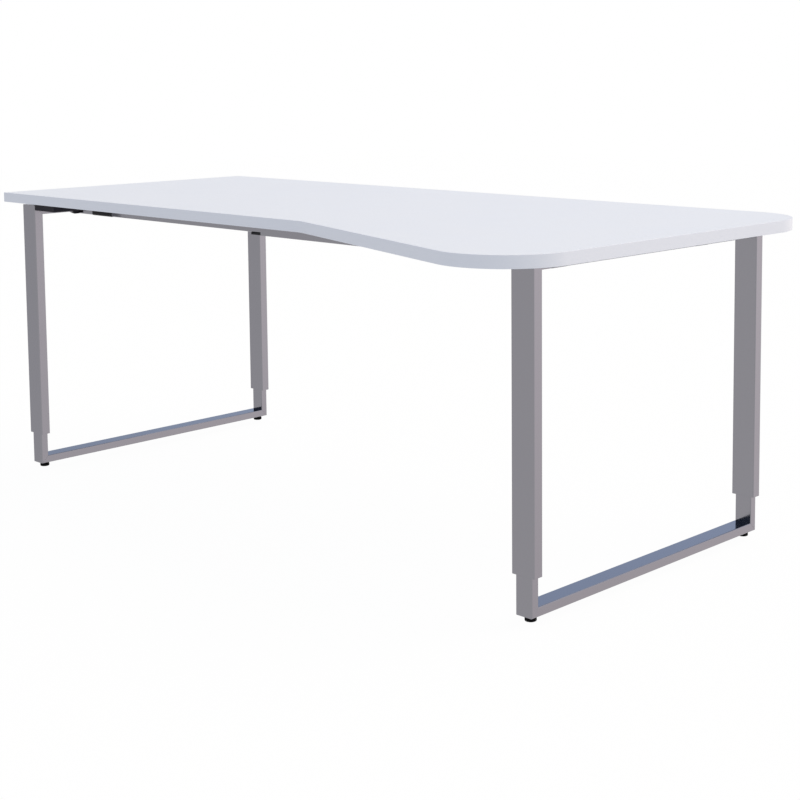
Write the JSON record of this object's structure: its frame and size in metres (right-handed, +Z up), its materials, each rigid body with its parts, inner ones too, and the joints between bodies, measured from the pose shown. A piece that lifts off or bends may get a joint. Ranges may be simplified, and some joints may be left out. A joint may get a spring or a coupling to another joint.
{
  "type": "height-adjustable desk",
  "caption": "White desk with a worktop that widens at one end, on two silver loop legs that telescope and are clamped at a set height, with levelling feet.",
  "frame": {"origin": "on the floor, below the middle of the overall length and of the greatest depth", "axes": "+X along the worktop to its wide end, +Y to the back edge, +Z up"},
  "size_m": [2, 1, 0.74],
  "materials": {
    "white_laminate": "white melamine-faced chipboard, fine matt grain",
    "white_edging": "white plastic edging, 2 mm thick, satin",
    "silver_frame": "smooth silver-grey metallic coat, half gloss",
    "zinc_steel": "bright zinc-plated steel",
    "black_coat": "black powder coat, fine texture",
    "black_plastic": "black moulded plastic, satin"
  },
  "bodies": {
    "base_left": {"floor_runner_left": "silver_frame", "inner_upright_front_left": "silver_frame", "guide_shoe_front_left": "black_plastic", "foot_insert_front_left": "zinc_steel", "inner_upright_back_left": "silver_frame", "guide_shoe_back_left": "black_plastic", "foot_insert_back_left": "zinc_steel"},
    "top_frame": {"worktop_board": "white_laminate", "edge_band": "white_edging", "side_rail_left": "silver_frame", "side_rail_right": "silver_frame", "front_beam_inner": "silver_frame", "front_beam_outer": "silver_frame", "front_beam_collar": "black_plastic", "back_beam_inner": "silver_frame", "back_beam_outer": "silver_frame", "back_beam_collar": "black_plastic", "outer_tube_front_left": "silver_frame", "worktop_lug_front_left": "zinc_steel", "beam_bracket_front_left": "black_coat", "guide_sleeve_front_left": "black_plastic", "clamp_nut_front_left": "zinc_steel", "worktop_screw_front_left_1": "zinc_steel", "worktop_screw_front_left_2": "zinc_steel", "outer_tube_back_left": "silver_frame", "worktop_lug_back_left": "zinc_steel", "beam_bracket_back_left": "black_coat", "guide_sleeve_back_left": "black_plastic", "clamp_nut_back_left": "zinc_steel", "worktop_screw_back_left_1": "zinc_steel", "worktop_screw_back_left_2": "zinc_steel", "outer_tube_front_right": "silver_frame", "worktop_lug_front_right": "zinc_steel", "beam_bracket_front_right": "black_coat", "guide_sleeve_front_right": "black_plastic", "clamp_nut_front_right": "zinc_steel", "worktop_screw_front_right_1": "zinc_steel", "worktop_screw_front_right_2": "zinc_steel", "outer_tube_back_right": "silver_frame", "worktop_lug_back_right": "zinc_steel", "beam_bracket_back_right": "black_coat", "guide_sleeve_back_right": "black_plastic", "clamp_nut_back_right": "zinc_steel", "worktop_screw_back_right_1": "zinc_steel", "worktop_screw_back_right_2": "zinc_steel"},
    "base_right": {"floor_runner_right": "silver_frame", "inner_upright_front_right": "silver_frame", "guide_shoe_front_right": "black_plastic", "foot_insert_front_right": "zinc_steel", "inner_upright_back_right": "silver_frame", "guide_shoe_back_right": "black_plastic", "foot_insert_back_right": "zinc_steel"},
    "foot_front_left": {"levelling_foot_front_left": "black_plastic"},
    "foot_back_left": {"levelling_foot_back_left": "black_plastic"},
    "foot_front_right": {"levelling_foot_front_right": "black_plastic"},
    "foot_back_right": {"levelling_foot_back_right": "black_plastic"},
    "clamp_front_left": {"clamp_screw_front_left": "zinc_steel"},
    "clamp_back_left": {"clamp_screw_back_left": "zinc_steel"},
    "clamp_front_right": {"clamp_screw_front_right": "zinc_steel"},
    "clamp_back_right": {"clamp_screw_back_right": "zinc_steel"}
  },
  "joints": [
    {"name": "height_lift", "type": "slide", "parent": "base_left", "child": "top_frame", "axis": [0, 0, 1], "range_m": [-0.06, 0.08]},
    {"name": "right_leg_slide", "type": "slide", "parent": "top_frame", "child": "base_right", "axis": [0, 0, -1], "range_m": [-0.06, 0.08]},
    {"name": "foot_screw_front_left", "type": "slide", "parent": "base_left", "child": "foot_front_left", "axis": [0, 0, -1], "range_m": [0, 0.01]},
    {"name": "foot_screw_back_left", "type": "slide", "parent": "base_left", "child": "foot_back_left", "axis": [0, 0, -1], "range_m": [0, 0.01]},
    {"name": "foot_screw_front_right", "type": "slide", "parent": "base_right", "child": "foot_front_right", "axis": [0, 0, -1], "range_m": [0, 0.01]},
    {"name": "foot_screw_back_right", "type": "slide", "parent": "base_right", "child": "foot_back_right", "axis": [0, 0, -1], "range_m": [0, 0.01]},
    {"name": "clamp_turn_front_left", "type": "hinge", "parent": "top_frame", "child": "clamp_front_left", "pos_m": [-0.926, -0.2755, 0.148], "axis": [1, 0, 0], "continuous": true},
    {"name": "clamp_turn_back_left", "type": "hinge", "parent": "top_frame", "child": "clamp_back_left", "pos_m": [-0.926, 0.4865, 0.148], "axis": [1, 0, 0], "continuous": true},
    {"name": "clamp_turn_front_right", "type": "hinge", "parent": "top_frame", "child": "clamp_front_right", "pos_m": [0.808, -0.2755, 0.148], "axis": [1, 0, 0], "continuous": true},
    {"name": "clamp_turn_back_right", "type": "hinge", "parent": "top_frame", "child": "clamp_back_right", "pos_m": [0.808, 0.4865, 0.148], "axis": [1, 0, 0], "continuous": true}
  ],
  "couplings": [
    {"joint": "right_leg_slide", "follows": "height_lift", "ratio": 1}
  ]
}
